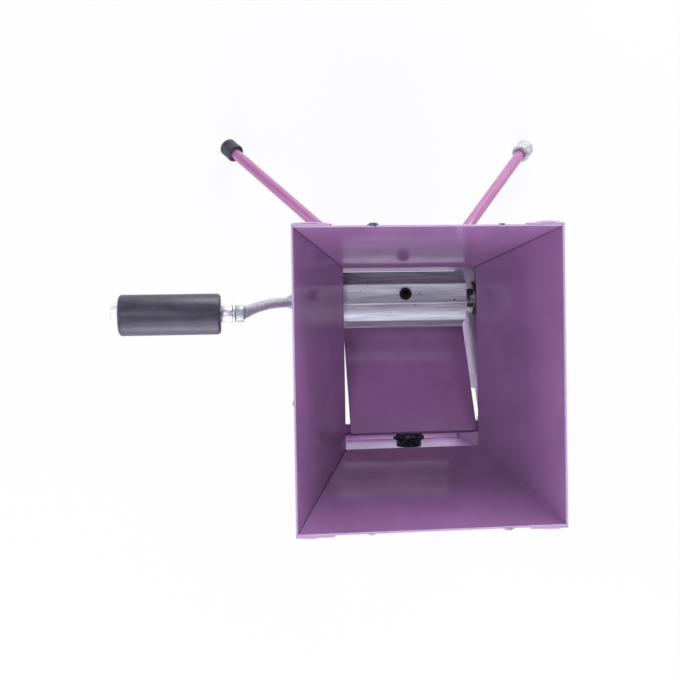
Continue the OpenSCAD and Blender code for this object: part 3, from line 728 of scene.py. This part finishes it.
def flangeLips():
    parts = []
    rise = lines["rimZ"] - lines["throatZ"]
    for (wall, side), width in lip["widths"].items():
        facing = -1 if wall == "front" else 1
        near = -lines["throatFront"] if wall == "front" else lines["throatRear"]
        lean = math.atan((lines["mouthY"] - near) / rise)
        out = Vector((0, facing * math.cos(lean), -math.sin(lean)))
        down = Vector((0, -facing * math.sin(lean), -math.cos(lean)))
        across, deep = 16, 10
        layers = []
        for layer in (0, 1):
            grid = []
            for j in range(deep + 1):
                fall = j / deep
                for i in range(across + 1):
                    u = i / across
                    hump = math.sin(math.pi * min(1, u * 0.94 + 0.03)) ** lip["flatness"]
                    proud = lip["root"]
                    if layer == 0:
                        proud = (2 * lines["sheet"] + lip["gap"] +
                                 lip["proud"] * hump * (1 - fall) ** lip["fade"])
                    start = Vector((side * (lines["mouthX"] + lip["over"] - u * width
                                            - fall * lip["depth"] * lip["narrowing"]),
                                    facing * lines["mouthY"], lines["rimZ"] - 0.1))
                    grid.append((start + down * fall * lip["depth"] + out * proud) * mm)
            layers.append(grid)
        verts = layers[0] + layers[1]
        count = len(layers[0])
        faces = []
        for j in range(deep):
            for i in range(across):
                a = j * (across + 1) + i
                quad = (a, a + 1, a + across + 2, a + across + 1)
                faces.append(quad)
                faces.append(tuple(count + k for k in reversed(quad)))
        edge = list(range(across + 1))
        edge += [j * (across + 1) + across for j in range(1, deep + 1)]
        edge += [deep * (across + 1) + i for i in range(across - 1, -1, -1)]
        edge += [j * (across + 1) for j in range(deep - 1, 0, -1)]
        for a, b in zip(edge, edge[1:] + edge[:1]):
            faces.append((a, b, count + b, count + a))
        parts.append((verts, faces))
    addMesh("flange_lips", *merge(parts), paint, "frame")


flangeLips()


knock = {"thick": 1.3, "below": 0.9, "above": 0.02, "rough": 0.22}
knocks = [  # where the rim's coat has broken away: x, y, half length, half width, material, along X
    ("rear_rim_knock", -41.5, 112.3, 4.2, 1.7, primerChip, True),
    ("rear_rim_nick", 54.0, 112.2, 2.6, 0.9, primerChip, True),
    ("front_rim_nick", -46.0, -112.3, 2.8, 1.0, paleChip, True),
    ("front_rim_knock", 56.0, -112.4, 4.0, 1.5, paleChip, True),
    ("left_rim_nick", -101.2, -15.6, 2.4, 0.9, paleChip, False),
]


def rimKnocks():
    for name, x, y, half, wide, material, alongX in knocks:
        tool = bmesh.new()
        bmesh.ops.create_icosphere(tool, subdivisions=4, radius=1.0)
        size = Vector((half, wide, knock["thick"]) if alongX else (wide, half, knock["thick"]))
        for v in tool.verts:
            rough = 1 + knock["rough"] * noise.noise(v.co * 2.2 + Vector((x, y, 0)))
            v.co = Vector([c * s for c, s in zip(v.co, size)]) * rough
            v.co = (v.co + Vector((x, y, lines["rimZ"] - knock["below"]))) * mm
            v.co.z = min(v.co.z, (lines["rimZ"] + knock["above"]) * mm)
        mesh = bpy.data.meshes.new(name)
        tool.to_mesh(mesh)
        tool.free()
        mesh.materials.append(material)
        mesh.polygons.foreach_set("use_smooth", [True] * len(mesh.polygons))
        made = bpy.data.objects.new(name, mesh)
        bpy.context.scene.collection.objects.link(made)
        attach(made, "frame")


rimKnocks()
print("rim dressed")


# nuts and heads in mm: across flats, height, radius of the bore
fasteners = {"hingeNut": (13, 6.5, 4.02), "legNut": (17, 6, 5.02), "boltHead": (13, 5.3),
             "washer": 1.6, "legNutDown": 26, "boltRadius": 4, "pitch": 1.25, "tip": 0.7}


def nutsOnHingeRod():
    mid = middleOf("hinge_rod_nuts")
    across, height, bore = fasteners["hingeNut"]
    parts = []
    for side in (-1, 1):
        seat = Vector((side * (lines["bodyX"] + fasteners["washer"]) * mm, mid.y, mid.z))
        parts.append(hexSolid(seat, xAxis * side, across * mm, height * mm, bore * mm, turn=0.2))
    made = sharpen(addMesh("hinge_rod_nuts_turned", *merge(parts), zinc, "frame"), 24)
    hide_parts("hinge_rod_nuts")


def nutsOnLegs():
    across, height, bore = fasteners["legNut"]
    parts = []
    for front in (True, False):
        for side in (-1, 1):
            root, _, up = legAxis(front, side)
            parts.append(hexSolid(root - up * fasteners["legNutDown"] * mm, up, across * mm,
                                  height * mm, bore * mm))
    made = sharpen(addMesh("leg_lock_nuts_turned", *merge(parts), zinc, "frame"), 24)
    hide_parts("leg_lock_nuts")


def adjusterBolt():
    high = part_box("adjuster_bolt")[1]
    across, height = fasteners["boltHead"]
    seat = Vector((adjusterAt.x, lines["bodyFront"] * mm, adjusterAt.z))
    head = hexSolid(seat, -yAxis, across * mm, height * mm, lowChamfer=False, turn=0.3)
    shank = threadedRod(seat - yAxis * mm, yAxis, fasteners["boltRadius"] * mm,
                        high.y - seat.y + mm, fasteners["pitch"] * mm)
    made = sharpen(addMesh("adjuster_bolt_threaded", *merge([head, shank]), zinc, "frame"), 24)
    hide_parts("adjuster_bolt")


def gripBolt():
    low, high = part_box("grip_bolt")
    across, height = fasteners["boltHead"]
    radius, tip = fasteners["boltRadius"] * mm, fasteners["tip"] * mm
    seat = Vector((low.x + height * mm, gripAt.y, gripAt.z))
    head = hexSolid(seat, -xAxis, across * mm, height * mm, lowChamfer=False, turn=0.12)
    length = high.x - seat.x
    shank = skin(lathe([(-0.5 * mm, radius), (length - tip, radius), (length, radius - tip)],
                       seat, xAxis), False)
    made = sharpen(addMesh("grip_bolt_turned", *merge([head, shank]), zinc, "crank"), 24)
    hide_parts("grip_bolt")


nutsOnHingeRod()
nutsOnLegs()
adjusterBolt()
gripBolt()
print("fasteners turned")


# forged bar in mm, a little bent, spread from its neck into the eye
crank = {"hubRadius": 14.0, "hubLength": 21.0, "hubBore": 8.0, "hubRound": (1.2, 0.5, 0.4),
         "barRadius": 4.0, "barStart": 9.0, "barStop": 3.6, "eyeRadius": 6.2, "eyeThick": 6.8,
         "eyeBore": 4.0, "eyeRound": (1.0, 0.35, 0.3), "bow": 2.2, "lift": 0.9, "neck": 5.4,
         "neckFrom": 0.74, "flare": 1.6, "flatter": 0.5, "dents": 0.025, "weldRing": 4.2,
         "weldRadius": 1.4}


def softDisc(half, radius, bore, corner, centre, steps):
    # a bored disc; corner is how far its rounding reaches, and the point halfway round it
    reach, inward, under = (size * mm for size in corner)
    profile = [(-half, bore), (-half, radius - reach), (-half + inward, radius - under),
               (-half + reach, radius), (half - reach, radius),
               (half - inward, radius - under), (half, radius - reach), (half, bore)]
    return skin(lathe(profile, centre, xAxis, steps), True)


def crankBar(root, eye, side):
    along = (eye - root).normalized()
    start, stop = root + along * crank["barStart"] * mm, eye - along * crank["barStop"] * mm
    out = (xAxis - along * xAxis.dot(along)).normalized()
    count, steps = 60, 28
    rings = []
    for i in range(count + 1):
        t = i / count
        bow = side * (crank["bow"] * math.sin(math.pi * t) * math.sin(math.pi * 0.9 * t)) * mm
        lift = xAxis * (crank["lift"] * math.sin(2 * math.pi * t)) * mm
        centre = start.lerp(stop, t) + bow + lift
        spread = max(0.0, (t - crank["neckFrom"]) / (1 - crank["neckFrom"])) ** crank["flare"]
        wide = crank["barRadius"] + (crank["neck"] - crank["barRadius"]) * spread
        thick = crank["barRadius"] - crank["flatter"] * spread
        dent = 1 + crank["dents"] * noise.noise(centre * 120)
        rings.append([centre + (side * math.cos(a) * wide + out * math.sin(a) * thick) * dent * mm
                      for a in (2 * math.pi * k / steps for k in range(steps))])
    return skin(rings, False)


def barWeld(root, along, side, reach):
    # a bead where the slanting bar leaves the hub, each point slid along the bar to reach
    flatAlong = Vector((0, along.y, along.z))
    steps = 32
    ring = []
    for k in range(steps):
        a = 2 * math.pi * k / steps
        p = root + (side * math.cos(a) + along.cross(side) * math.sin(a)) * crank["weldRing"] * mm
        flatP = Vector((0, p.y - root.y, p.z - root.z))
        square, cross = flatAlong.length_squared, flatAlong.dot(flatP)
        rest = flatP.length_squared - reach ** 2
        ring.append(p + along * ((-cross + math.sqrt(cross * cross - square * rest)) / square))
    return weldBead(ring, crank["weldRadius"] * mm, True)


def crankArm():
    half, radius = crank["hubLength"] / 2 * mm, crank["hubRadius"] * mm
    hub = Vector((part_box("crank_arm")[1].x - half, shaftAt.y, shaftAt.z))
    washerLow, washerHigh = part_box("grip_washer")
    eyeHalf = crank["eyeThick"] / 2 * mm
    eye = Vector((gripAt.x + (washerHigh.x - washerLow.x) / 2 + eyeHalf, gripAt.y, gripAt.z))
    root = hub - xAxis * (half - crank["barRadius"] * mm)
    along = (eye - root).normalized()
    side = along.cross(xAxis).normalized()
    parts = [softDisc(half, radius, crank["hubBore"] * mm, crank["hubRound"], hub, 72),
             crankBar(root, eye, side),
             softDisc(eyeHalf, crank["eyeRadius"] * mm, crank["eyeBore"] * mm,
                      crank["eyeRound"], eye, 48),
             barWeld(root, along, side, radius + 0.2 * mm)]
    made = sharpen(addMesh("crank_arm_forged", *merge(parts), barZinc, "crank"), 40)
    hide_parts("crank_arm")


crankArm()
print("crank arm forged")


# moulded caps in mm with a rolled mouth, flattened where they stand
foot = {"radius": 8.5, "length": 16.0, "round": 3.2, "sunk": 1.5,
        # distance back from the cap's end, and radius there
        "mouth": [(3.2, 8.25), (2.7, 8.67), (1.6, 8.775), (0.5, 8.4), (0.0, 7.6), (0.0, 5.9),
                  (0.5, 5.15), (1.6, 5.02)]}


def rubberFoot(name, front, side, material):
    root, floor, up = legAxis(front, side)
    tilt = math.acos(up.z)
    start = (foot["radius"] * math.sin(tilt) - foot["sunk"]) / math.cos(tilt)
    r, edge, length = foot["radius"], foot["round"], foot["length"]
    profile = [(start, 0.0)]
    for k in range(9):
        a = math.pi / 2 * k / 8
        profile.append((start + edge * (1 - math.cos(a)) * 0.55, r - edge + edge * math.sin(a)))
    profile.append((start + 5, r))
    profile += [(start + length - back, radius) for back, radius in foot["mouth"]]
    rings = lathe([(s * mm, q * mm) for s, q in profile], floor, up, 56)
    verts, faces = skin(rings, False, False)
    for v in verts:
        v.z = max(v.z, 0.0)
    made = addMesh(name + "_moulded", verts, faces, material, "frame")
    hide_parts(name)


rubberFoot("rear_left_foot", False, -1, rubber)
rubberFoot("rear_right_foot", False, 1, dustyLitRubber)
rubberFoot("front_left_foot", True, -1, rubber)
rubberFoot("front_right_foot", True, 1, rubber)
print("feet moulded")


studio = {"floor": "F4F3F6", "halfFloor": 6.0, "seenWhite": 0.86, "mirroredWhite": 0.12,
          "horizon": "F2EEFA", "zenith": "EAE6F5", "sky": 0.34, "aim": (0.0, 0.0, 0.15)}
lavender, violet = (0.88, 0.85, 0.99), (0.88, 0.84, 0.95)
softboxes = [  # name, place in metres, watts, width, height, tint
    ("front softbox", (0.0, -1.5, 0.8), 11.5, 1.6, 0.9, lavender),
    ("high front softbox", (0.0, -1.0, 1.4), 7.0, 1.0, 0.6, lavender),
    ("low front softbox", (0.0, -1.6, 0.35), 18.0, 1.6, 0.5, lavender),
    ("low rear softbox", (0.45, 1.4, 0.35), 27.0, 1.4, 0.5, violet),
    ("low left softbox", (-1.6, 0.0, 0.35), 11.0, 1.6, 0.5, lavender),
    ("low right softbox", (1.6, 0.0, 0.35), 1.5, 1.6, 0.5, lavender),
    ("top softbox", (-0.5, 0.25, 1.6), 4.5, 0.5, 0.5, lavender),
    ("table glow", (0.0, 0.0, 0.07), 0.075, 0.13, 0.13, lavender),  # through the open bottom
]
photo = {"focal": 1000, "size": 680, "middle": (360.05, 330.389),  # pixels
         "place": (-134.001, 49.768, 994.566), "turn": (0.019, 0.113, 0.018)}  # mm, radians


def paleFloor():
    mesh = bpy.data.meshes.new("studio_floor")
    r = studio["halfFloor"]
    mesh.from_pydata([(-r, -r, 0), (r, -r, 0), (r, r, 0), (-r, r, 0)], [], [(0, 1, 2, 3)])
    material = bpy.data.materials.new("white sweep")
    material.use_nodes = True
    tree = material.node_tree
    tree.nodes.clear()
    path = addNode(tree, "ShaderNodeLightPath").outputs
    seen = addNode(tree, "ShaderNodeMath", {0: path["Is Camera Ray"], 1: studio["seenWhite"]},
                   operation="MULTIPLY")
    mirrored = addNode(tree, "ShaderNodeMath",
                       {0: path["Is Glossy Ray"], 1: studio["mirroredWhite"]},
                       operation="MULTIPLY")
    share = addNode(tree, "ShaderNodeMath", {0: seen.outputs[0], 1: mirrored.outputs[0]},
                    operation="MAXIMUM")
    matt = addNode(tree, "ShaderNodeBsdfDiffuse", {"Color": linearColour(studio["floor"])})
    white = addNode(tree, "ShaderNodeEmission", {"Color": (1, 1, 1, 1), "Strength": 1.0})
    mix = addNode(tree, "ShaderNodeMixShader", {0: share.outputs[0], 1: matt.outputs[0],
                                                2: white.outputs[0]})
    addNode(tree, "ShaderNodeOutputMaterial", {"Surface": mix.outputs[0]})
    mesh.materials.append(material)
    floor = bpy.data.objects.new("studio_floor", mesh)
    bpy.context.scene.collection.objects.link(floor)


def softbox(name, place, power, width, height, tint):
    data = bpy.data.lights.new(name, "AREA")
    data.shape = "RECTANGLE"
    data.size, data.size_y = width, height
    data.energy = power
    data.color = tint
    lamp = bpy.data.objects.new(name, data)
    lamp.location = place
    lamp.rotation_mode = "QUATERNION"
    lamp.rotation_quaternion = (Vector(studio["aim"]) - Vector(place)).to_track_quat("-Z", "Y")
    lamp.visible_camera = False
    bpy.context.scene.collection.objects.link(lamp)


def skyDome():
    # paler at the horizon than overhead, where the camera and its boom keep light away
    world = bpy.data.worlds.new("studio dome")
    world.use_nodes = True
    tree = world.node_tree
    tree.nodes.clear()
    direction = addNode(tree, "ShaderNodeTexCoord").outputs["Generated"]
    height = addNode(tree, "ShaderNodeSeparateXYZ", {0: direction}).outputs["Z"]
    colour = blended(tree, risen(tree, height, 0.05, 0.95), linearColour(studio["horizon"]),
                     linearColour(studio["zenith"]))
    path = addNode(tree, "ShaderNodeLightPath").outputs
    strength = addNode(tree, "ShaderNodeMath", {0: path["Is Camera Ray"], 1: studio["sky"]},
                       operation="MAXIMUM")
    glow = addNode(tree, "ShaderNodeBackground",
                   {"Color": colour, "Strength": strength.outputs[0]})
    addNode(tree, "ShaderNodeOutputWorld", {"Surface": glow.outputs[0]})
    bpy.context.scene.world = world


def photoCamera():
    # solved from the hopper's corners, the roller, the crank and the feet
    data = bpy.data.cameras.new("photo camera")
    data.sensor_width = 36
    data.lens = photo["focal"] / photo["size"] * data.sensor_width
    half = photo["size"] / 2
    data.shift_x = (half - photo["middle"][0]) / photo["size"]
    data.shift_y = (photo["middle"][1] - half) / photo["size"]
    data.clip_start, data.clip_end = 0.01, 20
    camera = bpy.data.objects.new("photo camera", data)
    turnX, turnY, turnZ = (Matrix.Rotation(angle, 3, axis)
                           for angle, axis in zip(photo["turn"], "XYZ"))
    camera.matrix_world = (Matrix.Translation(Vector(photo["place"]) * mm) @
                           (turnZ @ turnY @ turnX).transposed().to_4x4())
    bpy.context.scene.collection.objects.link(camera)
    bpy.context.scene.camera = camera


paleFloor()
skyDome()
for box in softboxes:
    softbox(*box)
photoCamera()
scene = bpy.context.scene
scene.view_settings.view_transform = "Standard"
print("studio lit")
